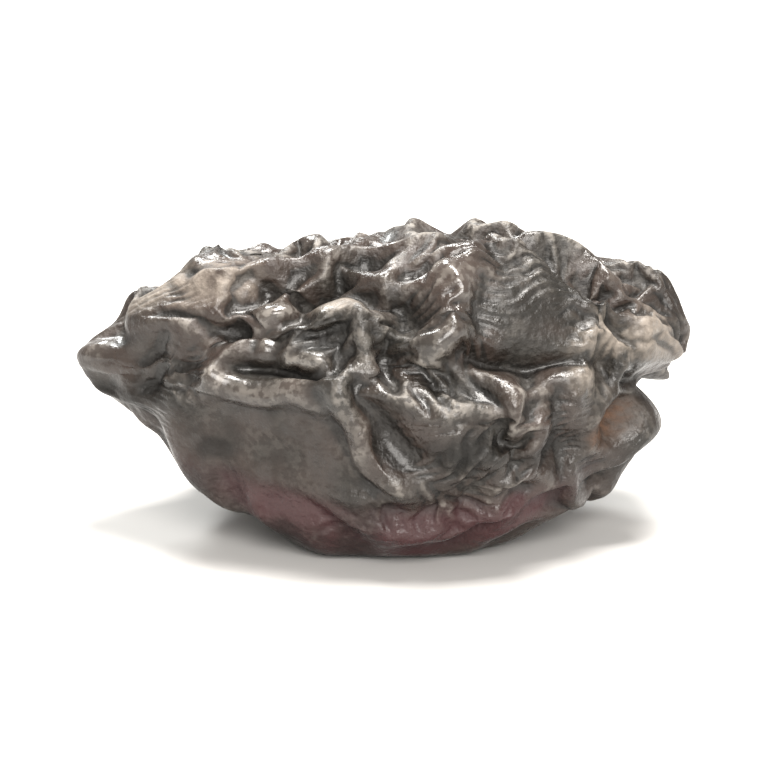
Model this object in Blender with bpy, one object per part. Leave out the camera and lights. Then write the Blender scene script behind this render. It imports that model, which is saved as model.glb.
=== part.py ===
"""A black raisin: one dried grape, lying on its belly as it came to rest.

The form is a sphere whose every point is carried to an almond-shaped body, then
moved in or out along that body's normal. Broad mounds and dents are placed by
hand, the folds of the dried skin are crests where a smooth noise crosses zero,
and more folds draw together at both ends. The long axis is X, with the pointed
end at -X and the stalk end at +X. The origin is under the middle, on the
surface that it lies on.
"""

import math

import bmesh
import bpy
import numpy as np

MM = 0.001  # the scene is in metres

# Overall size of the finished raisin
LENGTH = 16.0 * MM
WIDTH = 9.5 * MM
HEIGHT = 8.4 * MM

# Mesh of the sphere that is shaped: points round the raisin, and rings along it
POINTS_ROUND = 96
RINGS_ALONG = 60

# The almond-shaped body
END_BLUNTNESS = 2.2  # 2 is an ellipse, more is blunter
TIP_THICKNESS = 0.2  # share of the girth that is left at the pointed end
TIP_REACH = 0.33  # how far the taper reaches, in half lengths
TIP_STEEPNESS = 1.5  # 1 is a gentle taper, more comes to the point late
TIP_LIFT = 0.75 * MM  # how far the pointed end is raised
STALK_LIFT = 0.8 * MM  # and the stalk end
SIDE_BEND = 0.5 * MM  # how far the middle bows towards the front

# Folds of the dried skin: crests with hollows between, in two sizes.
# Each has the distance over which it repeats, its depth, and its seed.
FOLDS = (
    (4.4 * MM, 0.26 * MM, 11),
    (2.3 * MM, 0.30 * MM, 12),
)
FOLD_STRETCH = 1.55  # folds run lengthwise
CREST_ROUNDNESS = 0.16
FOLD_MEAN = 0.8  # the average depth, taken off so that the folds don't swell the body

# Where the folds fade: on one smooth facet, given as the oval features are, and
# towards the underside, over this many radians on either side of it
SMOOTH_FACET = (4.9, 98, 3.2, 1.9, -4)
FACET_SMOOTHNESS = 0.9
UNDERSIDE_REACH = 1.2
UNDERSIDE_STRENGTH = 0.45

# Slow bends that keep the folds from looking regular
BEND_LENGTH = 4.0 * MM
BEND_SIZE = 0.30 * MM
BEND_SEED = 5

# Broad unevenness of the whole form
SWELL_LENGTH = 6.5 * MM
SWELL_SIZE = 0.18 * MM
SWELL_SEED = 23

# The flat spot that it rests on, four-cornered and under the centre of mass
SINK = 0.8 * MM
REST_FILLET = 0.3 * MM
REST_MIDDLE = (0.45 * MM, -0.4 * MM)
REST_HALF_LENGTH = 2.5 * MM
REST_HALF_WIDTH = 1.8 * MM
REST_CORNERS = ((-1, -1), (1, -1), (1, 1), (-1, 1))
BELLY_RADIUS = 6.0 * MM  # the belly curves up at least this fast round the spot

# Broad features of the skin, each an oval mound or, with a negative height, a dent.
# Along is measured from the pointed end, and turn runs round the long axis:
# 0 degrees on top, 90 in front (-Y), 180 underneath and 270 behind.
#    along, turn, half length, half width, tilt of the long side, height
FEATURES = (
    # the pointed end
    (0.9, 60, 0.55, 0.45, 0, 0.22),  # bead at the very tip
    (2.3, 20, 0.45, 0.45, 0, 0.26),  # beads along its upper edge
    (3.5, 24, 0.5, 0.45, 0, 0.38),
    (4.9, 18, 0.6, 0.5, 10, 0.42),
    (2.6, 150, 1.8, 1.4, 0, 0.35),  # full belly under the point
    # front
    (4.7, 98, 2.6, 1.5, -4, -0.42),  # smooth hollow facet, low
    (4.6, 70, 2.3, 0.36, 3, 0.46),  # long ridge above it
    (7.6, 90, 1.8, 0.34, 58, 0.60),  # its branch, down towards the stalk end
    (5.0, 48, 2.2, 0.70, 3, -0.50),  # valley between the ridge and the top edge
    (8.3, 55, 0.55, 1.2, 24, -0.36),
    (9.6, 52, 0.50, 0.45, 0, 0.30),
    (11.8, 38, 1.6, 1.2, 0, 0.42),  # round bump, high near the stalk end
    (11.3, 61, 2.4, 0.34, 2, -0.62),  # deep crease under that bump
    (10.8, 80, 2.4, 1.0, 4, 0.30),  # wrinkled lobe under the crease
    (9.4, 99, 1.5, 0.5, 24, -0.36),
    (13.0, 97, 0.8, 0.8, 30, -0.36),
    (9.6, 116, 2.4, 0.6, -6, -0.26),
    # top
    (6.4, 2, 1.8, 0.55, -20, -0.36),
    (8.0, 22, 1.0, 0.5, 40, -0.30),
    (9.8, 352, 1.7, 0.55, 24, -0.38),
    (12.8, 6, 1.3, 0.5, -10, -0.15),
    # behind
    (4.0, 300, 1.8, 0.8, 12, -0.45),
    (5.0, 262, 2.4, 0.9, -8, -0.50),
    (8.2, 322, 2.2, 0.6, -16, -0.50),
    (8.8, 282, 2.6, 0.6, 10, -0.60),
    (6.6, 236, 2.2, 0.7, 14, -0.40),
    (12.2, 308, 1.7, 0.7, 20, -0.50),
    (12.2, 262, 2.0, 0.8, -12, -0.50),
    (10.6, 228, 2.2, 0.6, 4, -0.36),
    # underneath
    (4.6, 190, 1.8, 0.7, 20, -0.35),
    (12.6, 165, 1.8, 0.8, -20, -0.35),
)

# The stalk end: a cleft between two lobes, and the scar of the stalk
CLEFT_HEIGHT = -0.1 * MM  # above the middle
CLEFT_WIDTH = 0.5 * MM
CLEFT_DEPTH = 1.35 * MM
CLEFT_START = 13.6 * MM
CLEFT_SWAY = -0.55 * MM  # it wavers up and down as it crosses the end
CLEFT_SWAY_LENGTH = 1.3 * MM
CLEFT_END = 1.8 * MM  # it fades out towards the back
LOWER_LOBE_SET_BACK = 0.6 * MM
SCAR_ALONG = 14.7
SCAR_TURN = 108
SCAR_RADIUS = 0.55
SCAR_DEPTH = 0.38
SCAR_RIM_HEIGHT = 0.23
SCAR_RIM_PLACE = 1.5  # in scar radii
SCAR_RIM_WIDTH = 0.5

# Puckers: folds drawn together towards each end
# Each has the end (1 is the stalk end), how many folds, their depth and their reach.
PUCKERS = (
    (1, 9, 0.42 * MM, 0.55),
    (-1, 6, 0.30 * MM, 0.50),
)
PUCKER_MEAN = 0.6
PUCKER_WAVER = (0.9, 0.5)  # radians, once and twice round
PUCKER_FADE = 0.5  # share of the girth below which they die away

# Skin, as read from the shaded parts of the fruit
SKIN_COLOUR = (0.020, 0.014, 0.013, 1.0)
SKIN_ROUGHNESS = 0.42


def waves(points, length, seed, count=36):
    """Even noise of about one wavelength: plane waves added in random directions."""
    draw = np.random.default_rng(seed)
    directions = draw.normal(size=(count, 3))
    directions /= np.linalg.norm(directions, axis=1, keepdims=True)
    numbers = 2 * math.pi / (length * draw.uniform(0.75, 1.35, count))
    phases = draw.uniform(0, 2 * math.pi, count)
    angles = points @ (directions * numbers[:, None]).T + phases
    return math.sqrt(2 / count) * np.cos(angles).sum(axis=1)


def girth(t):
    """Share of the full girth at t, from -1 at the pointed end to 1 at the stalk end."""
    round_end = (1 - np.minimum(np.abs(t), 1) ** END_BLUNTNESS) ** (1 / END_BLUNTNESS)
    from_tip = np.maximum(1 + t, 0) / TIP_REACH
    taper = 1 - (1 - TIP_THICKNESS) * np.exp(-(from_tip**TIP_STEEPNESS))
    return round_end * taper


def body(t, turn):
    """Points of the plain almond body at t along it and turn round it, and their normals."""
    around = girth(t)
    lift = TIP_LIFT * ((1 - t) / 2) ** 3 + STALK_LIFT * ((1 + t) / 2) ** 4
    bow = SIDE_BEND * (1 - t**2)
    x = LENGTH / 2 * t
    y = -WIDTH / 2 * around * np.sin(turn) - bow
    z = HEIGHT / 2 * (1 + around * np.cos(turn)) + lift
    points = np.stack([x, y, z], axis=-1)
    normals = np.stack([
        t / LENGTH,
        -around * np.sin(turn) / WIDTH,
        around * np.cos(turn) / HEIGHT,
    ], axis=-1)
    normals /= np.linalg.norm(normals, axis=-1, keepdims=True)
    return points, normals


def oval(t, turn, along, at_turn, half_length, half_width, tilt):
    """Squared distance from an oval's middle, 1 on its rim, measured along the skin."""
    at = 2 * along * MM / LENGTH - 1
    radius = (WIDTH + HEIGHT) / 4 * girth(at)
    step = (turn - math.radians(at_turn) + math.pi) % (2 * math.pi) - math.pi
    forward = (t - at) * LENGTH / 2
    around = step * radius
    lean = math.radians(tilt)
    long_way = forward * math.cos(lean) + around * math.sin(lean)
    short_way = around * math.cos(lean) - forward * math.sin(lean)
    return (long_way / (half_length * MM)) ** 2 + (short_way / (half_width * MM)) ** 2


def features(t, turn):
    """The broad mounds and dents, each a smooth bell over its oval."""
    height = np.zeros_like(t)
    for along, at_turn, half_length, half_width, tilt, rise in FEATURES:
        spread = oval(t, turn, along, at_turn, half_length, half_width, tilt)
        height += rise * MM * np.exp(-spread)
    return height


def small_folds(points):
    """Folds in two sizes: each rises to a crest wherever its noise crosses zero."""
    bend = np.stack([
        waves(points, BEND_LENGTH, BEND_SEED + axis) for axis in range(3)
    ], axis=-1)
    lengthwise = (points + BEND_SIZE * bend) / np.array([FOLD_STRETCH, 1, 1])
    height = np.zeros(len(points))
    for length, depth, seed in FOLDS:
        noise = waves(lengthwise, length, seed)
        height += depth * (FOLD_MEAN - np.sqrt(noise**2 + CREST_ROUNDNESS**2))
    return height


def fold_strength(t, turn):
    """How strong the folds are: almost none on the smooth facet, weak underneath."""
    facet = np.exp(-oval(t, turn, *SMOOTH_FACET) ** 2)
    from_under = np.minimum(math.pi - np.abs(turn), UNDERSIDE_REACH)
    clear = 0.5 - 0.5 * np.cos(from_under * math.pi / UNDERSIDE_REACH)
    share = UNDERSIDE_STRENGTH + (1 - UNDERSIDE_STRENGTH) * clear
    return (1 - FACET_SMOOTHNESS * facet) * share


def cleft(t, points):
    """The notch across the stalk end, between its two lobes."""
    sway = CLEFT_SWAY * np.sin(points[:, 1] / CLEFT_SWAY_LENGTH)
    above = points[:, 2] - HEIGHT / 2 - CLEFT_HEIGHT - sway
    across = np.exp(-((above / CLEFT_WIDTH) ** 2))
    across /= 1 + np.exp((points[:, 1] - CLEFT_END) / CLEFT_WIDTH)
    below = 1 / (1 + np.exp(above / CLEFT_WIDTH))
    start = 2 * CLEFT_START / LENGTH - 1
    reach = np.clip((t - start) / (1 - start), 0, 1)
    return -(CLEFT_DEPTH * across + LOWER_LOBE_SET_BACK * below) * reach


def puckers(t, turn):
    """Folds that run in to each end: crests where a wavering sine crosses zero."""
    height = np.zeros_like(t)
    fade = np.minimum(girth(t) / PUCKER_FADE, 1)
    for end, folds, depth, reach in PUCKERS:
        near = np.clip((end * t - 1 + reach) / reach, 0, 1)
        near = near**2 * (3 - 2 * near) * fade
        waver = PUCKER_WAVER[0] * np.sin(turn + folds)
        waver += PUCKER_WAVER[1] * np.sin(2 * turn + end)
        height += depth * near * (PUCKER_MEAN - np.abs(np.sin(folds / 2 * turn + waver)))
    return height


def scar(t, turn):
    """The small pit with a raised rim where the stalk was."""
    spread = oval(t, turn, SCAR_ALONG, SCAR_TURN, SCAR_RADIUS, SCAR_RADIUS, 0)
    from_rim = (np.sqrt(spread) - SCAR_RIM_PLACE) / SCAR_RIM_WIDTH
    return (SCAR_RIM_HEIGHT * np.exp(-(from_rim**2)) - SCAR_DEPTH * np.exp(-spread)) * MM


def settle(points):
    """Lets it sink to a flat spot with four clear corners, and curve up round it."""
    z = points[:, 2] - points[:, 2].min() - SINK
    fillet = np.maximum(REST_FILLET - np.abs(z), 0) ** 2 / (4 * REST_FILLET)
    half = np.array([REST_HALF_LENGTH, REST_HALF_WIDTH])
    past_edge = np.maximum(np.abs(points[:, :2] - REST_MIDDLE) - half, 0)
    belly = (past_edge**2).sum(axis=1) / (2 * BELLY_RADIUS)
    points[:, 2] = np.maximum(np.maximum(z, 0) + fillet, belly)
    for side in REST_CORNERS:
        corner = REST_MIDDLE + half * side
        apart = np.linalg.norm(points[:, :2] - corner, axis=1) + points[:, 2]
        points[apart.argmin()] = (*corner, 0)


def fit_to_size(points):
    """Centres it over the origin and brings it to its overall size."""
    low = points.min(axis=0)
    high = points.max(axis=0)
    middle = (low + high) / 2
    middle[2] = low[2]
    points -= middle
    points *= np.array([LENGTH, WIDTH, HEIGHT]) / (high - low)


def raisin_points(directions):
    """Where the points of a unit sphere, its poles on X, lie on the raisin."""
    t = np.clip(directions[:, 0], -1, 1)
    turn = np.arctan2(-directions[:, 1], directions[:, 2])
    points, normals = body(t, turn)
    height = features(t, turn) + cleft(t, points) + scar(t, turn)
    height += puckers(t, turn)
    height += SWELL_SIZE * waves(points, SWELL_LENGTH, SWELL_SEED)
    height += small_folds(points) * fold_strength(t, turn)
    points += normals * height[:, None]
    settle(points)
    fit_to_size(points)
    return points


def skin_material():
    material = bpy.data.materials.new("raisin_skin")
    material.use_nodes = True
    shader = material.node_tree.nodes["Principled BSDF"]
    shader.inputs["Base Color"].default_value = SKIN_COLOUR
    shader.inputs["Roughness"].default_value = SKIN_ROUGHNESS
    shader.inputs["Metallic"].default_value = 0.0
    return material


def make_raisin(collection):
    shape = bmesh.new()
    bmesh.ops.create_uvsphere(
        shape, u_segments=POINTS_ROUND, v_segments=RINGS_ALONG, radius=1.0
    )
    # The sphere's poles are on Z: turned a quarter about Y, they lie on X.
    directions = np.array([(v.co.z, v.co.y, -v.co.x) for v in shape.verts])
    for vertex, place in zip(shape.verts, raisin_points(directions)):
        vertex.co = place
    bmesh.ops.triangulate(shape, faces=shape.faces)
    mesh = bpy.data.meshes.new("raisin")
    shape.to_mesh(mesh)
    shape.free()
    mesh.shade_smooth()
    mesh.materials.append(skin_material())
    raisin = bpy.data.objects.new("raisin", mesh)
    collection.objects.link(raisin)
    return raisin


def main():
    for old in list(bpy.data.objects):
        bpy.data.objects.remove(old)
    collection = bpy.data.collections.new("black_raisin")
    bpy.context.scene.collection.children.link(collection)
    make_raisin(collection)


main()
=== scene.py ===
# %% [markdown]
# A black raisin, dressed over its plain solid.
#
# A raisin is a grape that has lost most of its water. The flesh shrinks, the skin
# doesn't, and so the skin has too much area for what it covers. It buckles into
# folds, first broad ones and then fine ones across them. This lesson makes the
# raisin in that order: the broad form, then a skin that grows on it until it
# folds, and last the colours and the gloss.

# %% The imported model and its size
import math
from types import SimpleNamespace

import bpy
import numpy as np
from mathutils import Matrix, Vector


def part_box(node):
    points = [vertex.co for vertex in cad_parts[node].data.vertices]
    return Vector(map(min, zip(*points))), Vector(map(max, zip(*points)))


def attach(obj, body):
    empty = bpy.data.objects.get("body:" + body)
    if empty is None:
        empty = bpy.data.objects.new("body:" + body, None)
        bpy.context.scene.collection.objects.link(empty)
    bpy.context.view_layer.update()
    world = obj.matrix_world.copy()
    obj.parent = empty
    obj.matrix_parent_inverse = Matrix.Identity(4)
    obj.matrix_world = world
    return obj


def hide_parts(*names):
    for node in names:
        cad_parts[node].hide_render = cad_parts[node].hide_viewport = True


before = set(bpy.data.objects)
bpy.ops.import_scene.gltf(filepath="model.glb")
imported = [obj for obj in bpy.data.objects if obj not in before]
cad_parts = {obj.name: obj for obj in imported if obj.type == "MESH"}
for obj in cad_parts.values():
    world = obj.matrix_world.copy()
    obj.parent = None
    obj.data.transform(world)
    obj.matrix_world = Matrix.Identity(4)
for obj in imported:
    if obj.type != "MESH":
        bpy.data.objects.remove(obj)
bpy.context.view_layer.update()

LOW, HIGH = (np.array(corner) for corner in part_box("raisin"))
LENGTH, WIDTH, HEIGHT = HIGH - LOW
MM = 0.001  # the scene is in metres
print("the solid is", np.round((HIGH - LOW) / MM, 2), "mm")

# %% [markdown]
# A net of points round a ball. A globe's lines of longitude crowd together at its
# poles, and wrinkles made on such a net would show two stars there. Six square
# grids, like a cube that is blown up into a ball, have cells of nearly one size
# everywhere and no poles, so the skin is made on those.

# %% The net
FINE_CELLS = 128  # cells along each side of a square grid
COARSE_CELLS = FINE_CELLS // 2
ROUNDING = 1e6  # points that agree to one part in this many are one point


def net(cells):
    """Points on a unit sphere, from six grids in u and v.

    A grid runs from -45 to 45 degrees in u and in v. Its point is (1, tan u, tan v),
    turned to one of the cube's six faces and divided by its length. Returns the
    points, the four corners of each cell, and which point each grid place is.
    """
    tangents = np.tan(np.linspace(-math.pi / 4, math.pi / 4, cells + 1))
    u, v = np.meshgrid(tangents, tangents, indexing="ij")
    w = np.ones_like(u)
    sides = np.array([
        (w, u, v), (-w, v, u), (v, w, u), (u, -w, v), (u, v, w), (v, u, -w)
    ])
    points = np.moveaxis(sides, 1, -1).reshape(-1, 3)
    points /= np.linalg.norm(points, axis=1, keepdims=True)
    keys = np.round(points * ROUNDING).astype(np.int64)
    _, first, joined = np.unique(keys, axis=0, return_index=True, return_inverse=True)
    grids = joined.reshape(6, cells + 1, cells + 1)
    corners = np.stack([
        grids[:, :-1, :-1], grids[:, 1:, :-1], grids[:, 1:, 1:], grids[:, :-1, 1:]
    ], axis=-1)
    return points[first], corners.reshape(-1, 4), grids


directions, cells, grids = net(FINE_CELLS)
print("the net has", len(directions), "points and", len(cells), "cells")

# %% [markdown]
# The body under the skin is an almond: blunt at the stalk end, drawn to a point at
# the other. Two numbers say where a point of it lies. t runs along the raisin, from
# -1 at the point to 1 at the stalk end, and turn runs round it, from 0 on top to a
# quarter at the front.

# %% The almond body
END_BLUNTNESS = 2.2  # 2 is an ellipse, more is blunter
TIP_THICKNESS = 0.2  # share of the girth that is left at the pointed end
TIP_REACH = 0.33  # how far the taper reaches, in half lengths
TIP_STEEPNESS = 1.5  # 1 is a gentle taper, more comes to the point late
TIP_LIFT = 0.75 * MM  # how far the pointed end is raised
STALK_LIFT = 0.8 * MM  # and the stalk end
SIDE_BEND = 0.5 * MM  # how far the middle bows towards the front


def girth(t):
    """Share of the full girth at t: a blunt ellipse, times a taper to the point."""
    round_end = (1 - np.minimum(np.abs(t), 1) ** END_BLUNTNESS) ** (1 / END_BLUNTNESS)
    from_tip = np.maximum(1 + t, 0) / TIP_REACH
    taper = 1 - (1 - TIP_THICKNESS) * np.exp(-(from_tip**TIP_STEEPNESS))
    return round_end * taper


def body(t, turn):
    """Points of the almond and their normals.

    x is t half lengths. y and z go round an ellipse of the girth at t, with y bowed
    to the front in the middle and z raised towards the point.
    """
    around = girth(t)
    lift = TIP_LIFT * ((1 - t) / 2) ** 3 + STALK_LIFT * ((1 + t) / 2) ** 4
    bow = SIDE_BEND * (1 - t**2)
    x = LENGTH / 2 * t
    y = -WIDTH / 2 * around * np.sin(turn) - bow
    z = HEIGHT / 2 * (1 + around * np.cos(turn)) + lift
    normals = np.stack([
        t / LENGTH, -around * np.sin(turn) / WIDTH, around * np.cos(turn) / HEIGHT
    ], axis=-1)
    normals /= np.linalg.norm(normals, axis=-1, keepdims=True)
    return np.stack([x, y, z], axis=-1), normals


# %% [markdown]
# The features that make this raisin this one are placed one by one: beads along the
# pointed end, a smooth facet low in front with a ridge over it, a round bump high
# near the stalk end. Each is a bell over an oval. A sculptor would push them in with
# a brush, but a table of ovals is easier to read and to change. The first table holds
# what the solid has too. The other two are for the skin alone.

# %% Mounds and dents
# Along is in mm from the pointed end, turn in degrees: 0 on top, 90 in front,
# 180 underneath and 270 behind. A negative height is a dent.
#    along, turn, half length, half width, tilt of the long side, height
FEATURES = (
    # the pointed end
    (0.9, 60, 0.55, 0.45, 0, 0.22),  # bead at the very tip
    (2.3, 20, 0.45, 0.45, 0, 0.26),  # beads along its upper edge
    (3.5, 24, 0.5, 0.45, 0, 0.38),
    (4.9, 18, 0.6, 0.5, 10, 0.42),
    (2.6, 150, 1.8, 1.4, 0, 0.35),  # full belly under the point
    # front
    (4.7, 98, 2.6, 1.5, -4, -0.42),  # smooth hollow facet, low
    (4.6, 70, 2.3, 0.36, 3, 0.46),  # long ridge above it
    (7.6, 90, 1.8, 0.34, 58, 0.60),  # its branch, down towards the stalk end
    (5.0, 48, 2.2, 0.70, 3, -0.50),  # valley between the ridge and the top edge
    (8.3, 55, 0.55, 1.2, 24, -0.36),
    (9.6, 52, 0.50, 0.45, 0, 0.30),
    (11.8, 38, 1.6, 1.2, 0, 0.42),  # round bump, high near the stalk end
    (11.3, 61, 2.4, 0.34, 2, -0.62),  # deep crease under that bump
    (10.8, 80, 2.4, 1.0, 4, 0.30),  # wrinkled lobe under the crease
    (9.4, 99, 1.5, 0.5, 24, -0.36),
    (13.0, 97, 0.8, 0.8, 30, -0.36),
    (9.6, 116, 2.4, 0.6, -6, -0.26),
    # top
    (6.4, 2, 1.8, 0.55, -20, -0.36),
    (8.0, 22, 1.0, 0.5, 40, -0.30),
    (9.8, 352, 1.7, 0.55, 24, -0.38),
    (12.8, 6, 1.3, 0.5, -10, -0.15),
    # behind
    (4.0, 300, 1.8, 0.8, 12, -0.45),
    (5.0, 262, 2.4, 0.9, -8, -0.50),
    (8.2, 322, 2.2, 0.6, -16, -0.50),
    (8.8, 282, 2.6, 0.6, 10, -0.60),
    (6.6, 236, 2.2, 0.7, 14, -0.40),
    (12.2, 308, 1.7, 0.7, 20, -0.50),
    (12.2, 262, 2.0, 0.8, -12, -0.50),
    (10.6, 228, 2.2, 0.6, 4, -0.36),
    # underneath
    (4.6, 190, 1.8, 0.7, 20, -0.35),
    (12.6, 165, 1.8, 0.8, -20, -0.35),
)

# %% Narrow details and slight swellings
# In the same numbers as the features
DETAILS = (
    (1.0, 54, 0.50, 0.45, 7, 0.32),  # beads that catch the light
    (4.8, 41, 0.50, 0.45, 6, 0.35),
    (5.0, 56, 0.35, 0.30, 0, 0.22),
    (5.9, 61, 0.35, 0.30, 15, 0.22),
    (10.1, 36, 0.55, 0.50, -4, 0.46),
    (9.6, 56, 0.50, 0.40, 0, 0.40),
    (4.6, 75, 1.7, 0.26, 4, 0.26),  # sharper crest of the ridge over the facet
    (7.4, 88, 1.5, 0.22, 57, 0.20),  # sharper crest of its branch
    (8.3, 92, 0.8, 0.40, 50, -0.24),
    (7.4, 54, 1.0, 0.28, 73, 0.30),  # ridge that comes down from the top
    (6.8, 40, 1.1, 0.40, 12, 0.12),
    (8.3, 23, 0.6, 0.35, -39, 0.20),
    (1.6, 36, 0.5, 0.25, 33, -0.24),  # small pits and beads of the pointed end
    (2.2, 11, 0.25, 0.25, 0, -0.26),
    (3.4, 16, 0.35, 0.30, 41, -0.26),
    (2.9, 42, 0.5, 0.22, 26, -0.22),
    (3.9, 49, 0.6, 0.25, 18, -0.26),
    (3.1, 51, 0.35, 0.30, 10, 0.26),
    (2.3, 66, 0.9, 0.22, 0, -0.18),
    (5.9, 33, 1.3, 0.30, 7, -0.10),  # dark creases and pale curls behind it
    (6.5, 56, 0.35, 0.28, 33, -0.20),
    (7.6, 64, 0.30, 0.24, 85, 0.22),
    (8.2, 65, 0.30, 0.24, 79, -0.20),
    (8.1, 30, 0.5, 0.28, -69, 0.20),
    (10.7, 48, 0.9, 0.30, 80, -0.16),  # hollows round the bump
    (13.5, 42, 1.0, 0.32, 70, -0.16),
    (10.3, 80, 0.7, 0.28, -5, 0.18),  # folds on the lobe
    (12.1, 75, 0.9, 0.24, 0, 0.18),
)

SWELLINGS = (  # slight ones, which bring the outline closer to the photograph's
    (3.7, 6, 2.2, 1.3, 0, 0.46),
    (1.2, 35, 0.8, 1.0, 0, 0.26),
    (13.0, 4, 1.2, 0.9, 0, 0.50),
    (15.2, 20, 0.8, 0.9, 0, -0.30),
    (15.4, 124, 0.6, 0.7, 0, 0.40),
    (15.3, 80, 0.7, 0.40, 0, -0.45),
    (1.8, 145, 1.0, 1.8, 0, -0.55),
)
WAVER_LENGTH = 1.8 * MM  # details aren't straight: their places waver by this noise
WAVER_SIZE = 0.16 * MM
WAVER_SEED = 41
print(len(FEATURES), "features,", len(DETAILS), "details and", len(SWELLINGS), "swellings")


# %% Bells over ovals
def oval(t, turn, along, at_turn, half_length, half_width, tilt):
    """Squared distance from an oval's middle, 1 on its rim, measured along the skin."""
    at = 2 * along * MM / LENGTH - 1
    radius = (WIDTH + HEIGHT) / 4 * girth(at)
    step = (turn - math.radians(at_turn) + math.pi) % (2 * math.pi) - math.pi
    forward = (t - at) * LENGTH / 2
    around = step * radius
    lean = math.radians(tilt)
    long_way = forward * math.cos(lean) + around * math.sin(lean)
    short_way = around * math.cos(lean) - forward * math.sin(lean)
    return (long_way / (half_length * MM)) ** 2 + (short_way / (half_width * MM)) ** 2


def features(t, turn, table):
    """Height of the mounds and dents: each is e to the minus its squared distance."""
    height = np.zeros_like(t)
    for along, at_turn, half_length, half_width, tilt, rise in table:
        spread = oval(t, turn, along, at_turn, half_length, half_width, tilt)
        height += rise * MM * np.exp(-spread)
    return height


# %% [markdown]
# Between those, the flesh under the skin is uneven by chance. Noise made of many
# plane waves is even all over and has one chosen size. Where such a noise crosses
# zero, minus its absolute value has a crest, and these crests branch and join as the
# big folds of a raisin do.

# %% Chance unevenness and the big folds
FOLDS = (  # distance over which each repeats, depth, seed
    (4.4 * MM, 0.26 * MM, 11),
    (2.3 * MM, 0.30 * MM, 12),
)
FOLD_STRETCH = 1.55  # folds run lengthwise
CREST_ROUNDNESS = 0.16
FOLD_MEAN = 0.8  # the average depth, taken off so that the folds don't swell the body
BEND_LENGTH = 4.0 * MM  # slow bends that keep the folds from looking regular
BEND_SIZE = 0.30 * MM
BEND_SEED = 5
SWELL_LENGTH = 6.5 * MM  # broad unevenness of the whole form
SWELL_SIZE = 0.18 * MM
SWELL_SEED = 23
SMOOTH_FACET = (4.9, 98, 3.2, 1.9, -4)  # an oval on which the folds fade
FACET_SMOOTHNESS = 0.9
UNDERSIDE_REACH = 1.2  # radians to each side
UNDERSIDE_STRENGTH = 0.45


def waves(points, length, seed, count=36):
    """Even noise of about one wavelength: cosines along random directions, added up."""
    draw = np.random.default_rng(seed)
    ways = draw.normal(size=(count, 3))
    ways /= np.linalg.norm(ways, axis=1, keepdims=True)
    numbers = 2 * math.pi / (length * draw.uniform(0.75, 1.35, count))
    phases = draw.uniform(0, 2 * math.pi, count)
    angles = points @ (ways * numbers[:, None]).T + phases
    return math.sqrt(2 / count) * np.cos(angles).sum(axis=1)


def big_folds(points):
    """Folds in two sizes, each its depth times (mean - |noise|), rounded at the crest."""
    bend = np.stack([
        waves(points, BEND_LENGTH, BEND_SEED + axis) for axis in range(3)
    ], axis=-1)
    lengthwise = (points + BEND_SIZE * bend) / np.array([FOLD_STRETCH, 1, 1])
    height = np.zeros(len(points))
    for length, depth, seed in FOLDS:
        noise = waves(lengthwise, length, seed)
        height += depth * (FOLD_MEAN - np.sqrt(noise**2 + CREST_ROUNDNESS**2))
    return height


def fold_strength(t, turn):
    """How strong folds are: almost none on the smooth facet, weak underneath."""
    facet = np.exp(-oval(t, turn, *SMOOTH_FACET) ** 2)
    from_under = np.minimum(math.pi - np.abs(turn), UNDERSIDE_REACH)
    clear = 0.5 - 0.5 * np.cos(from_under * math.pi / UNDERSIDE_REACH)
    share = UNDERSIDE_STRENGTH + (1 - UNDERSIDE_STRENGTH) * clear
    return (1 - FACET_SMOOTHNESS * facet) * share


# %% [markdown]
# Both ends are gathered like the mouth of a bag: folds run in to the point and to
# where the stalk was. The stalk end also has a cleft between two lobes, and beside
# the cleft sits the scar, a small pit with a raised rim.

# %% The two ends
PUCKERS = (  # end (1 is the stalk end), how many folds, depth, reach
    (1, 9, 0.42 * MM, 0.55),
    (-1, 6, 0.30 * MM, 0.50),
)
PUCKER_MEAN = 0.6  # about the average of |sin|, taken off as with the folds
PUCKER_WAVER = (0.9, 0.5)  # radians, once and twice round
PUCKER_FADE = 0.5  # share of the girth below which they die away
CLEFT_HEIGHT = -0.1 * MM  # above the middle
CLEFT_WIDTH = 0.5 * MM
CLEFT_DEPTH = 1.35 * MM
CLEFT_START = 13.6 * MM
CLEFT_SWAY = -0.55 * MM  # it wavers up and down as it crosses the end
CLEFT_SWAY_LENGTH = 1.3 * MM
CLEFT_END = 1.8 * MM  # it fades out towards the back
LOWER_LOBE_SET_BACK = 0.6 * MM
SCAR_ALONG = 14.7
SCAR_TURN = 108
SCAR_RADIUS = 0.55
SCAR_DEPTH = 0.38
SCAR_RIM_HEIGHT = 0.23
SCAR_RIM_PLACE = 1.5  # in scar radii
SCAR_RIM_WIDTH = 0.5


def puckers(t, turn):
    """Folds drawn in to each end: minus |sin| of the turn, with a waver added to it."""
    height = np.zeros_like(t)
    fade = np.minimum(girth(t) / PUCKER_FADE, 1)
    for end, folds, depth, reach in PUCKERS:
        near = np.clip((end * t - 1 + reach) / reach, 0, 1)
        near = near**2 * (3 - 2 * near) * fade
        waver = PUCKER_WAVER[0] * np.sin(turn + folds)
        waver += PUCKER_WAVER[1] * np.sin(2 * turn + end)
        height += depth * near * (PUCKER_MEAN - np.abs(np.sin(folds / 2 * turn + waver)))
    return height


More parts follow.
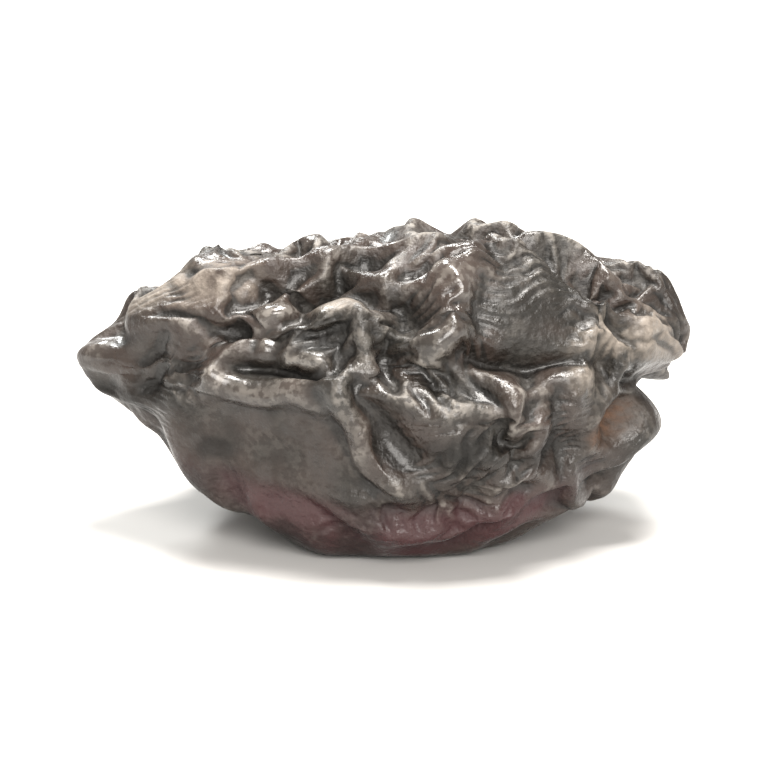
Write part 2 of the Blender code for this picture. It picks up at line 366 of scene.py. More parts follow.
def cleft(t, points):
    """The notch between the two lobes: a bell across a wavering line, deeper to the end."""
    sway = CLEFT_SWAY * np.sin(points[:, 1] / CLEFT_SWAY_LENGTH)
    above = points[:, 2] - HEIGHT / 2 - CLEFT_HEIGHT - sway
    across = np.exp(-((above / CLEFT_WIDTH) ** 2))
    across /= 1 + np.exp((points[:, 1] - CLEFT_END) / CLEFT_WIDTH)
    below = 1 / (1 + np.exp(above / CLEFT_WIDTH))
    start = 2 * CLEFT_START / LENGTH - 1
    reach = np.clip((t - start) / (1 - start), 0, 1)
    return -(CLEFT_DEPTH * across + LOWER_LOBE_SET_BACK * below) * reach


def scar(t, turn):
    """The stalk's scar: a bell-shaped pit less a bell-shaped rim round it."""
    spread = oval(t, turn, SCAR_ALONG, SCAR_TURN, SCAR_RADIUS, SCAR_RADIUS, 0)
    from_rim = (np.sqrt(spread) - SCAR_RIM_PLACE) / SCAR_RIM_WIDTH
    return (SCAR_RIM_HEIGHT * np.exp(-(from_rim**2)) - SCAR_DEPTH * np.exp(-spread)) * MM


# %% [markdown]
# Last, the raisin is soft and heavy enough to flatten where it lies, and the whole
# is brought to the solid's box, so that nothing here is larger than the part.

# %% The form without its fine wrinkles
SINK = 0.8 * MM  # how much of its underside is pressed flat
REST_FILLET = 0.3 * MM
REST_MIDDLE = (0.45 * MM, -0.4 * MM)
REST_HALF_SIZE = (2.5 * MM, 1.8 * MM)
BELLY_RADIUS = 6.0 * MM  # the belly curves up at least this fast round the spot


def settle(points):
    """Sinks it to a flat spot: z is cut off at 0, with a round edge, and curves up round it."""
    z = points[:, 2] - points[:, 2].min() - SINK
    fillet = np.maximum(REST_FILLET - np.abs(z), 0) ** 2 / (4 * REST_FILLET)
    past_edge = np.maximum(np.abs(points[:, :2] - REST_MIDDLE) - REST_HALF_SIZE, 0)
    belly = (past_edge**2).sum(axis=1) / (2 * BELLY_RADIUS)
    points[:, 2] = np.maximum(np.maximum(z, 0) + fillet, belly)


def fit_to_box(points):
    """Moves and stretches the points so that they just fill the solid's box."""
    low = points.min(axis=0)
    high = points.max(axis=0)
    return LOW + (points - low) * (HIGH - LOW) / (high - low)


def place_on_body(ways):
    """t and turn of each direction: its x, and the angle of its y and z round x."""
    return np.clip(ways[:, 0], -1, 1), np.arctan2(-ways[:, 1], ways[:, 2])


def wavered(ways, points):
    """t and turn of each direction, shifted this way and that by noise."""
    t, turn = place_on_body(ways)
    t = t + WAVER_SIZE * waves(points, WAVER_LENGTH, WAVER_SEED) / (LENGTH / 2)
    turn = turn + WAVER_SIZE * waves(points, WAVER_LENGTH, WAVER_SEED + 1) / (WIDTH / 2)
    return t, turn


def form(ways):
    """The raisin's points: the body's, moved along its normals by all heights together."""
    t, turn = place_on_body(ways)
    points, normals = body(t, turn)
    height = features(t, turn, FEATURES + SWELLINGS) + cleft(t, points) + scar(t, turn)
    height += puckers(t, turn)
    height += SWELL_SIZE * waves(points, SWELL_LENGTH, SWELL_SEED)
    height += big_folds(points) * fold_strength(t, turn)
    points += normals * height[:, None]
    settle(points)
    return fit_to_box(points)


plain_form = form(directions)
print("the form spans", np.round(np.ptp(plain_form, axis=0) / MM, 2), "mm")

# %% [markdown]
# Now the skin itself. Every point of the net is tied to its eight neighbours by
# springs. All springs get a little longer than they were, more so round the raisin
# than along it, as the skin has too much area for the shrunken flesh. The net also
# resists sharp bends, and weak springs tie it to the form below. It can only find
# room by buckling out and in, and that gives folds which wrap round the mounds,
# branch and end as real ones do. Cloth simulation would do the same, but here it is
# a short loop over whole arrays, and it gives the same folds every time.

# %% Springs between neighbours
def neighbours(corners, count):
    """For each point, its four neighbours along edges and its four across cells.

    A point with fewer is padded with itself, and that spring does nothing.
    """
    def table(pairs):
        """The other ends of each point's pairs, four to a row."""
        keys = np.concatenate([pairs @ [count, 1], pairs[:, ::-1] @ [count, 1]])
        start, end = np.divmod(np.unique(keys), count)
        rank = np.arange(len(start)) - np.searchsorted(start, start)
        result = np.tile(np.arange(count)[:, None], 4)
        result[start, rank] = end
        return result

    edges = np.concatenate([corners[:, [k, (k + 1) % 4]] for k in range(4)])
    across = np.concatenate([corners[:, [0, 2]], corners[:, [1, 3]]])
    return table(edges), table(across)


# %% The growing skin
PULL = 0.12  # how strongly a spring pulls, per step
MOMENTUM = 0.85
START_NOISE = 0.02  # in cells, so that the folds have something to start from
LEAST_LENGTH = 1e-9  # the least that a length is divided by, as padding springs have none


def grow(start, corners, strength, grain, most, least, bending, hold, steps, seed):
    """Lets a skin with too much area buckle, and returns where its points end.

    A spring along the grain grows by the largest share, one across it by the least.

    Each step adds three forces: every spring's stretch along itself, the bending
    force, which evens out how hollow the net has become since the start, and the
    hold, which is the way back to the start. Speed carries over from step to step.
    """
    edge, across = neighbours(corners, len(start))
    linked = np.concatenate([edge, across], axis=1)
    start = start.astype(np.float32)
    reach = start[linked] - start[:, None]
    length = np.linalg.norm(reach, axis=-1)
    with_grain = np.einsum("ijk,ik->ij", reach, grain) / np.maximum(length, LEAST_LENGTH)
    length *= 1 + (least + (most - least) * with_grain**2) * strength[:, None]
    hollow_at_start = start[edge].mean(axis=1) - start
    noise = np.random.default_rng(seed).normal(0, START_NOISE * np.median(length), start.shape)
    points = start + noise.astype(np.float32)
    speed = np.zeros_like(points)
    for _ in range(steps):
        reach = points[linked] - points[:, None]
        now = np.maximum(np.sqrt((reach**2).sum(axis=-1)), LEAST_LENGTH)
        force = PULL * (reach * (1 - length / now)[..., None]).sum(axis=1)
        hollow = points[edge].mean(axis=1) - points - hollow_at_start
        force -= bending * (hollow[edge].mean(axis=1) - hollow)
        force += hold * (start - points)
        speed = MOMENTUM * speed + force
        points += speed
    return points


# %% [markdown]
# Springs alone fold like paper, with crests as sharp as creases. On a raisin the soft
# flesh fills each fold, so the crests are round and only the creases are sharp. A
# smoothing that acts on what stands out, and hardly moves the hollows, does that.

# %% Filling the folds
ON_CRESTS = 0.5  # share of the way to the middle of its neighbours that a point goes
IN_HOLLOWS = 0.15


def outward(points, corners):
    """Unit normals: the cross products of the cells' diagonals, added at the corners."""
    cell = points[corners]
    facing = np.cross(cell[:, 2] - cell[:, 0], cell[:, 3] - cell[:, 1])
    total = np.zeros_like(points)
    for corner in corners.T:
        np.add.at(total, corner, facing)
    return total / np.linalg.norm(total, axis=1, keepdims=True)


def fill(points, corners, rounds):
    """Rounds the crests: points above the middle of their neighbours go halfway there.

    Points in a hollow go a small share of the way, or creases would end as thin slits.
    """
    edge, _ = neighbours(corners, len(points))
    for _ in range(rounds):
        hollow = points[edge].mean(axis=1) - points
        stands_out = (hollow * outward(points, corners)).sum(axis=1) < 0
        points = points + hollow * np.where(stands_out, ON_CRESTS, IN_HOLLOWS)[:, None]
    return points


# %% [markdown]
# The skin grows twice. The first time the net is coarse and stiffer, which gives the
# thick folds, and quickly. Their shifts are read onto the fine net. The narrow details
# are put on, and the fine net then grows again, into the fine wrinkles across the
# folds. Beads, ridges and the smooth facet stay clear because the skin grows less there.

# %% How much the skin grows, and where
FIRST_GROWTH = dict(most=0.34, least=0.10, bending=0.12, hold=0.005, steps=150, seed=33)
SECOND_GROWTH = dict(most=0.46, least=0.12, bending=0.06, hold=0.009, steps=120, seed=4)
FIRST_FILL = 5
SECOND_FILL = 3
PLACES_OF_GROWTH = (  # ovals where the skin grows less, and by what factor
    ((4.6, 132, 3.6, 2.2, -4), 0.15),  # belly
    ((4.6, 100, 2.6, 1.5, -4), 0.05),  # facet
    ((2.3, 20, 0.5, 0.5, 0), 0.6),  # beads along the upper edge
    ((3.5, 24, 0.5, 0.5, 0), 0.6),
    ((4.9, 18, 0.6, 0.5, 10), 0.6),
    ((11.8, 42, 1.4, 1.1, 0), 0.4),  # round bump
    ((10.7, 68, 1.1, 0.8, 0), 0.5),  # where crease and hollows meet
    ((14.6, 90, 1.6, 2.6, 0), 0.35),  # stalk end
    ((0.9, 80, 1.3, 1.6, 0), 0.5),  # the point
    ((6.8, 56, 0.8, 0.6, 0), 0.5),  # under the pale ridge
)
CALM_ON_DETAILS = 0.6  # share of the growth taken away on raised details
FLAT_SPOT_REACH = 1.2 * MM  # the folds fade this far above the flat spot
UNEVEN_FOLDS = (5.0 * MM, 171)  # folds are stronger in some places than in others
UNEVEN_WRINKLES = (3.5 * MM, 72)
GRAIN_LEAN = 0.75  # radians that the folds lean either way
FOLD_GRAIN = (6.0 * MM, 81)
WRINKLE_GRAIN = (3.2 * MM, 82)
MEAN_GROWTH = 0.62  # the slow noise swings about this share
GROWTH_SWING = 0.38
GROWTH_LIMITS = (0.12, 1.3)


def strength_of_growth(ways, points, uneven):
    """Where the skin grows more: the folds' own strength, times slow noise.

    It is less on the named ovals and on raised details, and none at the flat spot.
    """
    above = np.clip(points[:, 2] / FLAT_SPOT_REACH, 0, 1)
    patches = np.clip(MEAN_GROWTH + GROWTH_SWING * waves(points, *uneven), *GROWTH_LIMITS)
    t, turn = place_on_body(ways)
    for one, factor in PLACES_OF_GROWTH:
        patches *= 1 + (factor - 1) * np.exp(-oval(t, turn, *one) ** 2)
    for *one, rise in DETAILS:
        patches *= 1 - CALM_ON_DETAILS * (rise > 0) * np.exp(-oval(t, turn, *one))
    return fold_strength(t, turn) * above * patches


def grain_of_skin(ways, points, length, seed):
    """Unit direction of the most growth: round the raisin, turned either way by slow noise."""
    _, turn = place_on_body(ways)
    lean = GRAIN_LEAN * waves(points, length, seed)
    round_it = np.cos(lean)
    return np.stack([
        np.sin(lean), -round_it * np.cos(turn), -round_it * np.sin(turn)
    ], axis=-1).astype(np.float32)


# %% The thick folds
def onto_finer_net(values, coarse_grids, fine_grids):
    """Values of a net with half as many cells, averaged halfway between its points."""
    coarse = values[coarse_grids]
    fine = np.empty((*fine_grids.shape, 3))
    fine[:, ::2, ::2] = coarse
    fine[:, 1::2, ::2] = (coarse[:, 1:] + coarse[:, :-1]) / 2
    fine[:, :, 1::2] = (fine[:, :, 2::2] + fine[:, :, :-2:2]) / 2
    result = np.empty((fine_grids.max() + 1, 3))
    result[fine_grids] = fine
    return result


coarse_directions, coarse_cells, coarse_grids = net(COARSE_CELLS)
coarse_form = form(coarse_directions)
coarse_strength = strength_of_growth(coarse_directions, coarse_form, UNEVEN_FOLDS)
coarse_grain = grain_of_skin(coarse_directions, coarse_form, *FOLD_GRAIN)
coarse_skin = grow(coarse_form, coarse_cells, coarse_strength, coarse_grain, **FIRST_GROWTH)
coarse_skin = fill(coarse_skin, coarse_cells, FIRST_FILL)
shift = onto_finer_net(coarse_skin - coarse_form, coarse_grids, grids)
folded = plain_form + shift
details = features(*wavered(directions, plain_form), DETAILS)
folded += outward(folded, cells) * details[:, None]
print("the folds move the skin by", round(np.abs(shift).mean() / MM, 3), "mm on average")

# %% The fine wrinkles
strength = strength_of_growth(directions, plain_form, UNEVEN_WRINKLES)
grain = grain_of_skin(directions, plain_form, *WRINKLE_GRAIN)
skin = grow(folded, cells, strength, grain, **SECOND_GROWTH)
skin = fill(skin, cells, SECOND_FILL)
skin[:, 2] = np.maximum(skin[:, 2], 0)
skin = fit_to_box(skin)
moved = np.linalg.norm(skin - plain_form, axis=1) / MM
print("the skin ends", round(moved.mean(), 3), "mm from the form, at most", round(moved.max(), 2))

# %% [markdown]
# The points become one closed mesh. Its place is in its points, and its object sits
# at the origin, so patterns that read Object coordinates stay put on it.

# %% The mesh
def mesh_from(name, points, corners):
    """A smooth mesh of those points, with a face for each row of corners."""
    mesh = bpy.data.meshes.new(name)
    mesh.from_pydata(points.tolist(), [], corners.tolist())
    mesh.shade_smooth()
    piece = bpy.data.objects.new(name, mesh)
    bpy.context.scene.collection.objects.link(piece)
    return piece


raisin = mesh_from("raisin_skin", skin, cells)
print(raisin.name, "has", len(raisin.data.polygons), "faces")

# %% [markdown]
# Colour follows relief. Crests are scuffed and carry a pale dust, the bloom, which there
# is partly a painted highlight, and hollows are darkened with painted shade. How far each
# point stands above its surroundings is measured on the mesh itself, at two sizes, and
# stored as attributes that the material can read.

# %% Relief, stored on the mesh
FINE_ROUNDS = 10  # rounds of smoothing that take away what counts as fine relief
BROAD_ROUNDS = 90
RELIEF_RANGE = 5  # standard deviations that are spread over 0 to 1, with 0.5 as level


def relief(points, normals, linked, rounds):
    """How far points stand out from a smoothed copy, in its own standard deviations."""
    smooth = points.copy()
    for _ in range(rounds):
        smooth = (smooth + smooth[linked].mean(axis=1)) / 2
    out = ((points - smooth) * normals).sum(axis=1)
    return out / out.std()


def store(piece, name, values):
    """Keeps one number for each point, under a name that the material reads."""
    attribute = piece.data.attributes.new(name, "FLOAT", "POINT")
    attribute.data.foreach_set("value", values.astype(np.float32))
    print(name, "runs from", round(values.min(), 2), "to", round(values.max(), 2))


normals = np.empty(len(skin) * 3)
raisin.data.vertex_normals.foreach_get("vector", normals)
normals = normals.reshape(-1, 3)
edge_neighbours, _ = neighbours(cells, len(skin))
fine_relief = relief(skin, normals, edge_neighbours, FINE_ROUNDS)
broad_relief = relief(skin, normals, edge_neighbours, BROAD_ROUNDS)
store(raisin, "crest", np.clip(0.5 + fine_relief / RELIEF_RANGE, 0, 1))
store(raisin, "mound", np.clip(0.5 + broad_relief / RELIEF_RANGE, 0, 1))

# %% [markdown]
# Some places have a colour of their own: the scar of the stalk is corky and orange
# brown, the skin over it and at the pointed end has dried to tan, and the belly, where
# the skin is thin and smooth, lets the wine red of the flesh through, which also paints
# the glow of light shining through it. Others differ in gloss: rubbed ridges and beads
# are pale with bloom and a painted highlight, beads shine, and some hollows, pits and
# undersides are dark and dull with painted shade. All are ovals, as the features are.

# %% Places with their own colour
TAN_PATCHES = (
    (14.2, 60, 1.2, 1.2, 20),
    (15.5, 45, 0.7, 0.8, 0),
    (3.2, 22, 1.5, 0.75, 4),
    (6.9, 41, 0.9, 0.30, 12),
)
# wine red, partly the flesh's colour under thin skin and partly a painted glow of light shining
# through it, most on the belly
RED_AND_GLOW_PATCHES = (
    (8.0, 130, 4.8, 1.0, -1),
    (11.4, 122, 0.5, 0.3, 0),
    (12.1, 130, 0.5, 0.35, 20),
    (5.2, 246, 1.7, 0.7, 14),
    (10.6, 302, 0.9, 0.4, -20),
)
CORK_PATCHES = ((SCAR_ALONG - 0.2, SCAR_TURN, 0.9, 0.8, 0),)


def patches(at, ovals):
    """1 in the middle of each oval: e to the minus squared distance, soft at the rim."""
    inside = [np.exp(-oval(*at, *one)) for one in ovals]
    return np.max(inside, axis=0)


places = place_on_body(directions)
store(raisin, "tan", patches(places, TAN_PATCHES))
store(raisin, "red", patches(places, RED_AND_GLOW_PATCHES))
store(raisin, "scar", patches(places, CORK_PATCHES))

# %% Places with their own gloss
# pale bloom on these ridges and beads, partly a painted highlight where they would catch the
# light
RUBBED_AND_HIGHLIT_RIDGES = (
    (5.0, 74, 1.6, 0.24, 4),
    (7.4, 88, 1.5, 0.24, 57),
    (7.3, 56, 0.8, 0.26, 73),
    (10.3, 80, 0.7, 0.28, -5),
    (12.1, 75, 0.9, 0.24, 0),
    (1.0, 54, 0.35, 0.30, 0),
    (4.8, 41, 0.45, 0.35, 0),
    (10.1, 36, 0.45, 0.40, 0),
    (9.6, 56, 0.45, 0.35, 0),
    (3.0, 51, 0.35, 0.30, 0),
    (5.0, 56, 0.30, 0.26, 0),
    (5.9, 61, 0.30, 0.26, 0),
)
SHINY_PLACES = (  # beads and the ridge, which catch the light
    (1.0, 54, 0.6, 0.5, 0),
    (4.8, 41, 0.6, 0.5, 0),
    (5.0, 56, 0.5, 0.4, 0),
    (5.9, 61, 0.5, 0.4, 0),
    (10.1, 36, 0.7, 0.6, 0),
    (9.6, 56, 0.6, 0.5, 0),
    (4.6, 73, 1.9, 0.4, 4),
)
# painted shade: these hollows, pits and undersides are darkened, and also made matte
DULL_AND_SHADED_PLACES = (  # dark, without bloom or gloss
    (9.9, 93, 1.6, 0.55, 16),
    (12.5, 103, 1.2, 0.50, 35),
    (3.4, 114, 1.0, 0.60, 1),
    (1.1, 112, 1.0, 0.55, -27),
    (6.1, 55, 0.8, 0.40, 43),
    (13.4, 33, 0.5, 0.40, 44),
    (5.4, 140, 1.4, 0.60, 0),
    (2.2, 84, 1.0, 0.55, 0),
    (2.2, 11, 0.30, 0.28, 69),  # pits of the pointed end
    (3.4, 16, 0.32, 0.32, 44),
    (2.8, 40, 0.5, 0.22, 29),
    (3.8, 49, 0.6, 0.24, 21),
    (1.7, 39, 0.5, 0.25, 25),
    (6.5, 58, 0.3, 0.25, 64),
    (5.5, 67, 1.2, 0.22, 1),
)
places_of_details = wavered(directions, plain_form)
store(raisin, "rubbed", patches(places_of_details, RUBBED_AND_HIGHLIT_RIDGES))
store(raisin, "shine", patches(places_of_details, SHINY_PLACES))
store(raisin, "dull", patches(places_of_details, DULL_AND_SHADED_PLACES))

# %% [markdown]
# A material is a tree of nodes, and its sums read best as sums. This small class
# holds one output of a node. Adding or multiplying two of them adds the Math node
# that does it, and any other node comes from its one method.

# %% Shader sums in Python
class Wire:
    """One output of a shader node, or the tree alone, to start from."""

    def __init__(self, tree, socket=None):
        self.tree = tree
        self.socket = socket

    def node(self, kind, settings=None, inputs=None, output=0):
        """A node of that type: its settings first, then what its sockets hold."""
        made = self.tree.nodes.new("ShaderNode" + kind)
        for name, value in (settings or {}).items():
            setattr(made, name, value)
        for name, value in (inputs or {}).items():
            socket = made.inputs[name]
            if isinstance(value, Wire):
                self.tree.links.new(value.socket, socket)
            else:
                socket.default_value = value
        return Wire(self.tree, made.outputs[output])

    def math(self, operation, first, second):
        """A Math node on two values, each of them a wire or a number."""
        return self.node("Math", {"operation": operation}, {0: first, 1: second})

    def __add__(self, other):
        return self.math("ADD", self, other)

    def __radd__(self, other):
        return self.math("ADD", other, self)

    def __sub__(self, other):
        return self.math("SUBTRACT", self, other)

    def __rsub__(self, other):
        return self.math("SUBTRACT", other, self)

    def __mul__(self, other):
        return self.math("MULTIPLY", self, other)

    def __rmul__(self, other):
        return self.math("MULTIPLY", other, self)

    def between(self, low, high):
        """0 below low, 1 above high, and a smooth rise from one to the other."""
        return self.node(
            "MapRange", {"interpolation_type": "SMOOTHSTEP"},
            {"Value": self, "From Min": low, "From Max": high},
        )

    def mixed(self, share, other):
        """This colour, with that share of another."""
        sockets = {0: share, 6: self, 7: other}
        return self.node("Mix", {"data_type": "RGBA"}, sockets, output=2)

    def noise(self, size, detail=2.0, stretch=1.0):
        """Noise from 0 to 1 whose lumps are about that many mm, on mm coordinates."""
        place = self
        if stretch != 1.0:
            place = self.node("Mapping", inputs={"Vector": self, "Scale": (1 / stretch, 1, 1)})
        sockets = {"Vector": place, "Scale": 1 / size, "Detail": detail}
        return self.node("TexNoise", inputs=sockets)


# %% [markdown]
# The skin's colour. Black raisins are not black paint: thin skin over dark brown
# flesh, near black where it is thick, wine red where it is thin, and dulled by a
# greyish bloom on its crests. Here the wine red is partly a painted glow of light
# through the skin, the pale crests are partly a painted highlight, and the hollows are
# darkened with painted shade. So the material starts from near black and brown, and
# lays the other colours over that, each by its own share.

# %% The skin's colours
def colour(red, green, blue):
    """A colour as the shader's sockets take it, opaque."""
    return (red, green, blue, 1.0)


# DEEP_SHADE is the colour of painted shade, for hollows and dull places.
DEEP_SHADE = colour(0.0055, 0.0049, 0.0040)
DARK = colour(0.0120, 0.0106, 0.0085)
BROWN = colour(0.032, 0.022, 0.0175)
# WINE_AND_GLOW is partly the flesh's red and partly a painted glow of light through the thin
# skin.
WINE_AND_GLOW = colour(0.042, 0.0115, 0.0135)
# BLOOM_AND_HIGHLIGHT is partly a pale dust and partly a painted highlight on crests.
BLOOM_AND_HIGHLIGHT = colour(0.228, 0.210, 0.188)
TAN = colour(0.285, 0.243, 0.202)
CORK = colour(0.098, 0.052, 0.030)

# %% Noises and stored values
NOISES = {  # size of the lumps in mm, detail, and how much longer they are along the raisin
    "mottle": (2.4, 3.0),
    "wear": (0.9, 5.0),
    "damp": (1.3, 3.0),
    "specks": (0.20, 3.0),
    "grain": (0.12, 3.0),
    "streaks": (0.26, 4.0, 2.4),
}
STORED = ("crest", "mound", "tan", "red", "scar", "rubbed", "shine", "dull")
PORE_SIZE = 0.24  # in mm
PORE_SOFTNESS = 0.4


def skin_patterns(tree):
    """All that changes over the skin, by name: noises on mm coordinates, and what is stored.

    The height is two thirds fine relief and one third broad relief.
    """
    start = Wire(tree)
    place = start.node("TexCoord", output=3)
    mm = start.node("Mapping", inputs={"Vector": place, "Scale": (1 / MM,) * 3})
    on = SimpleNamespace()
    for name, numbers in NOISES.items():
        setattr(on, name, mm.noise(*numbers))
    for name in STORED:
        setattr(on, name, start.node("Attribute", {"attribute_name": name}, output=2))
    on.pores = start.node("TexVoronoi", {"feature": "SMOOTH_F1"}, {
        "Vector": mm, "Scale": 1 / PORE_SIZE, "Smoothness": PORE_SOFTNESS,
    })
    on.height = 0.65 * on.crest + 0.35 * on.mound
    on.damp = on.damp.between(0.43, 0.56)
    on.dull = on.dull.between(0.30, 0.85)
    on.speckled = on.specks.between(0.42, 0.58)
    return on


# %% How much of each colour
def shares(on):
    """Shares of bloom with painted highlight, wine red with painted glow, tan and cork, from 0 to
    1.

    Bloom lies on crests and rubbed ridges, worn and speckled, and not on damp or dull
    skin; there it is partly a painted highlight. Wine red is mottled and partly a painted
    glow of light through the skin, tan is strongest on crests, and cork is streaked.
    """
    # the pale bloom on crests is partly dust and partly a painted highlight
    bloom_and_highlight = (0.16 + 0.84 * on.height.between(0.54, 0.92)) * on.wear.between(0.36, 0.60)
    bloom_and_highlight = bloom_and_highlight * (0.20 + 0.80 * on.speckled)
    bloom_and_highlight = bloom_and_highlight * (1 - 0.75 * on.damp) * (1 - 0.8 * on.dull)
    # painted highlight: pale bloom on the rubbed ridges and beads
    highlight_on_ridges = on.rubbed * on.height.between(0.48, 0.70) * (0.25 + 0.75 * on.speckled)
    bloom_and_highlight = bloom_and_highlight + 0.40 * highlight_on_ridges * (1 - bloom_and_highlight)
    # the wine red is partly a painted glow of light through the skin
    wine_and_glow = on.red.between(0.10, 0.65) * (0.40 + 0.60 * on.mottle.between(0.38, 0.55))
    tan = on.tan.between(0.10, 0.85) * (0.20 + 0.80 * on.height.between(0.36, 0.66))
    tan = tan * on.wear.between(0.32, 0.52) * (1 - 0.85 * on.dull)
    cork = on.scar.between(0.30, 0.85) * (0.4 + 0.6 * on.streaks.between(0.35, 0.60))
    return bloom_and_highlight, wine_and_glow, tan, cork


def skin_colour(on, bloom_and_highlight, wine_and_glow, tan, cork):
    """Near black to brown, darkened in hollows and dull places with painted shade, with the four
    colours laid over it.
    """
    brown = on.mottle.between(0.34, 0.66)
    sockets = {0: brown, 6: DARK, 7: BROWN}
    base = brown.node("Mix", {"data_type": "RGBA"}, sockets, output=2)
    # painted shade: the lower a point lies in the relief, the more it is darkened towards the
    # deepest colour
    base = base.mixed((1 - on.height.between(0.32, 0.50)) * 0.85, DEEP_SHADE)
    # painted shade: the dull places are darkened towards the deepest colour
    base = base.mixed(0.7 * on.dull, DEEP_SHADE)
    base = base.mixed(bloom_and_highlight * 0.74, BLOOM_AND_HIGHLIGHT)
    base = base.mixed(wine_and_glow * (0.80 - 0.35 * on.dull), WINE_AND_GLOW)
    base = base.mixed(tan * (0.20 + 0.70 * on.specks), TAN)
    return base.mixed(cork * 0.9, CORK)


# %% [markdown]
# The gloss. Dried skin is satin, with a sticky shine where syrup has come through, and
# matte under the bloom. The roughness does most of that, and a thin clear coat adds
# the sharp glints on damp patches and beads. The bump holds only what is finer than
# the mesh: grain, streaks and pores.

# %% The skin's gloss and grain
BUMP_DISTANCE = 0.12 * MM
SKIN_IOR = 1.42  # as syrup has
COAT_ROUGHNESS = 0.18


def skin_gloss(on, bloom_and_highlight, tan, cork):
    """Roughness and coat: glossier on crests, damp skin and beads, and matte elsewhere."""
    roughness = 0.58 - 0.14 * on.height.between(0.46, 0.72) + 0.20 * (on.grain - 0.5)
    roughness = roughness - 0.20 * on.damp + 0.10 * bloom_and_highlight + 0.15 * tan + 0.20 * cork
    roughness = roughness - 0.26 * on.shine + 0.16 * on.dull
    coat = (0.05 + 0.30 * on.damp) * (1 - bloom_and_highlight) * (1 - cork) * (1 - on.dull)
    return roughness, coat + 0.85 * on.shine * (1 - coat)


def skin_bump(on):
    """Grain, streaks and pores added up, and fainter on what shines."""
    bumps = 0.35 * on.grain + 0.35 * on.streaks + 0.30 * on.pores
    bumps = bumps * (1 - 0.6 * on.shine)
    sockets = {"Strength": 1.0, "Distance": BUMP_DISTANCE, "Height": bumps}
    return bumps.node("Bump", inputs=sockets)


# %% The skin's material
def skin_material():
    """Colour, gloss and bump of the dried skin in one shader."""
    material = bpy.data.materials.new("dried_black_skin")
    material.use_nodes = True
    tree = material.node_tree
    shader = tree.nodes["Principled BSDF"]
    on = skin_patterns(tree)
    bloom_and_highlight, wine_and_glow, tan, cork = shares(on)
    roughness, coat = skin_gloss(on, bloom_and_highlight, tan, cork)
    varying = {
        "Base Color": skin_colour(on, bloom_and_highlight, wine_and_glow, tan, cork),
        "Roughness": roughness,
        "Coat Weight": coat,
        "Normal": skin_bump(on),
    }
    for name, wire in varying.items():
        tree.links.new(wire.socket, shader.inputs[name])
    shader.inputs["IOR"].default_value = SKIN_IOR
    shader.inputs["Coat IOR"].default_value = SKIN_IOR
    shader.inputs["Coat Roughness"].default_value = COAT_ROUGHNESS
    print(material.name, "has", len(tree.nodes), "nodes")
    return material


raisin.data.materials.append(skin_material())
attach(raisin, "root")
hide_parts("raisin")

# %% [markdown]
# The raisin lies on a plain white surface under soft light, like food in a
# catalogue. The floor is only a stage and isn't part of the model.

# %% The floor
FLOOR_SIZE = 2.0  # in metres, so large that its edges don't show
FLOOR_COLOUR = colour(0.47, 0.466, 0.458)
FLOOR_ROUGHNESS = 0.8


def plain_material(name, shade, roughness):
    """One colour and one roughness, which is enough for a stage."""
    material = bpy.data.materials.new(name)
    material.use_nodes = True
    shader = material.node_tree.nodes["Principled BSDF"]
    shader.inputs["Base Color"].default_value = shade
    shader.inputs["Roughness"].default_value = roughness
    return material


def floor():
    """A square of four corners round the origin, at height 0."""
    half = FLOOR_SIZE / 2
    corners = np.array([(-half, -half, 0), (half, -half, 0), (half, half, 0), (-half, half, 0)])
    made = mesh_from("floor", corners, np.array([[0, 1, 2, 3]]))
    made.data.materials.append(plain_material("white_floor", FLOOR_COLOUR, FLOOR_ROUGHNESS))


floor()

# %% [markdown]
# A soft light hangs above, as the bright upper sides of the folds show. A smaller
# one stands behind on the left and draws glints along the top, and a large one in
# front keeps the front from going black. Faint light from all sides fills the
# shadows. All of it is a little warm, but for the light behind.

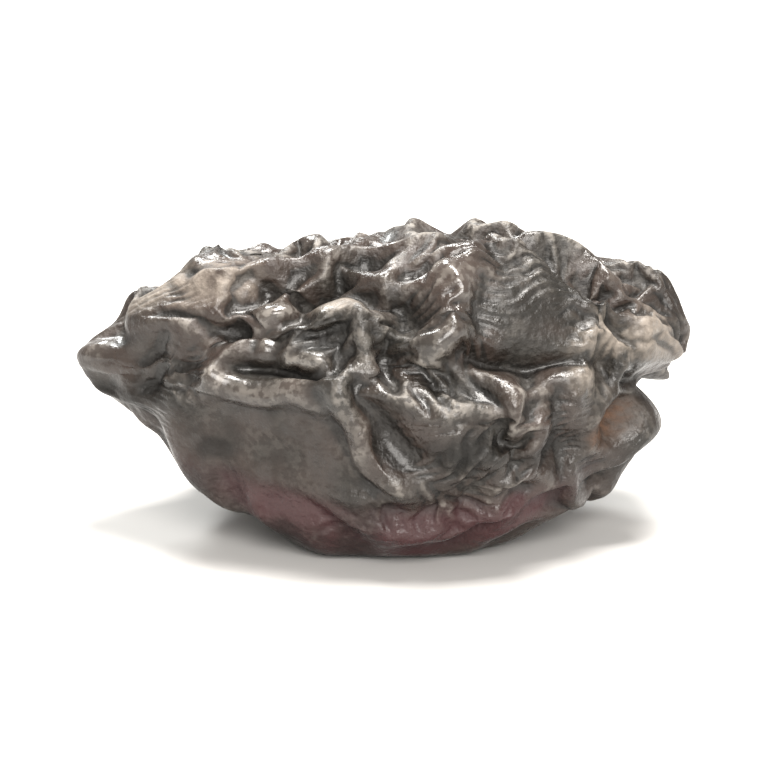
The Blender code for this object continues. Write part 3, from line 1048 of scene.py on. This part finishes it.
# %% Soft studio light
SURROUNDINGS = 0.66
WARM = (1.0, 0.965, 0.925)
NEUTRAL = (0.985, 1.0, 0.985)
LIGHTS = (  # name, place in mm, size in mm, watts, colour
    ("overhead", (30, 10, 330), 115, 2.7, WARM),
    ("behind", (-90, 230, 240), 90, 1.1, NEUTRAL),
    ("front", (60, -300, 190), 200, 1.8, WARM),
)


def soft_light(name, place, size, watts, tint):
    """A square light that faces the raisin's middle."""
    lamp = bpy.data.lights.new(name, "AREA")
    lamp.size = size * MM
    lamp.energy = watts
    lamp.color = tint
    lit = bpy.data.objects.new(name, lamp)
    bpy.context.scene.collection.objects.link(lit)
    lit.location = Vector(place) * MM
    target = Vector((0, 0, HEIGHT / 2))
    lit.rotation_euler = (target - lit.location).to_track_quat("-Z", "Y").to_euler()


def surroundings():
    """The same faint warm light from all sides."""
    world = bpy.data.worlds.new("white_studio")
    world.use_nodes = True
    world.node_tree.nodes["Background"].inputs["Color"].default_value = colour(*WARM)
    world.node_tree.nodes["Background"].inputs["Strength"].default_value = SURROUNDINGS
    bpy.context.scene.world = world


surroundings()
for light in LIGHTS:
    soft_light(*light)
print(len(LIGHTS), "lights")

# %% [markdown]
# The photograph looks down at about 18 degrees, from far enough away that near and
# far ends are drawn to the same scale. So the camera has a long lens.

# %% The camera
ELEVATION = 18  # degrees above the horizon
LENS = 300  # mm, on a 36 mm sensor
SHARE_OF_FRAME = 0.80  # of the frame's width that the raisin takes
FRAMED_HEIGHT = 0.47  # share of the raisin's height that is in the middle of the frame
CLIP_FACTOR = 100  # the camera sees from a hundredth to a hundred times its distance


def camera():
    """Stands so far back that the raisin takes its share of the frame."""
    seen = bpy.data.cameras.new("camera")
    seen.lens = LENS
    made = bpy.data.objects.new("camera", seen)
    bpy.context.scene.collection.objects.link(made)
    away = LENGTH / SHARE_OF_FRAME * LENS / seen.sensor_width
    lean = math.radians(ELEVATION)
    back = Vector((0, -math.cos(lean), math.sin(lean)))
    middle = Vector((0, 0, HEIGHT * FRAMED_HEIGHT))
    made.location = middle + back * away
    made.rotation_euler = (-back).to_track_quat("-Z", "Y").to_euler()
    seen.clip_start = away / CLIP_FACTOR
    seen.clip_end = away * CLIP_FACTOR
    bpy.context.scene.camera = made
    print("the camera is", round(away / MM), "mm away")


camera()
bpy.context.scene.view_settings.view_transform = "Standard"
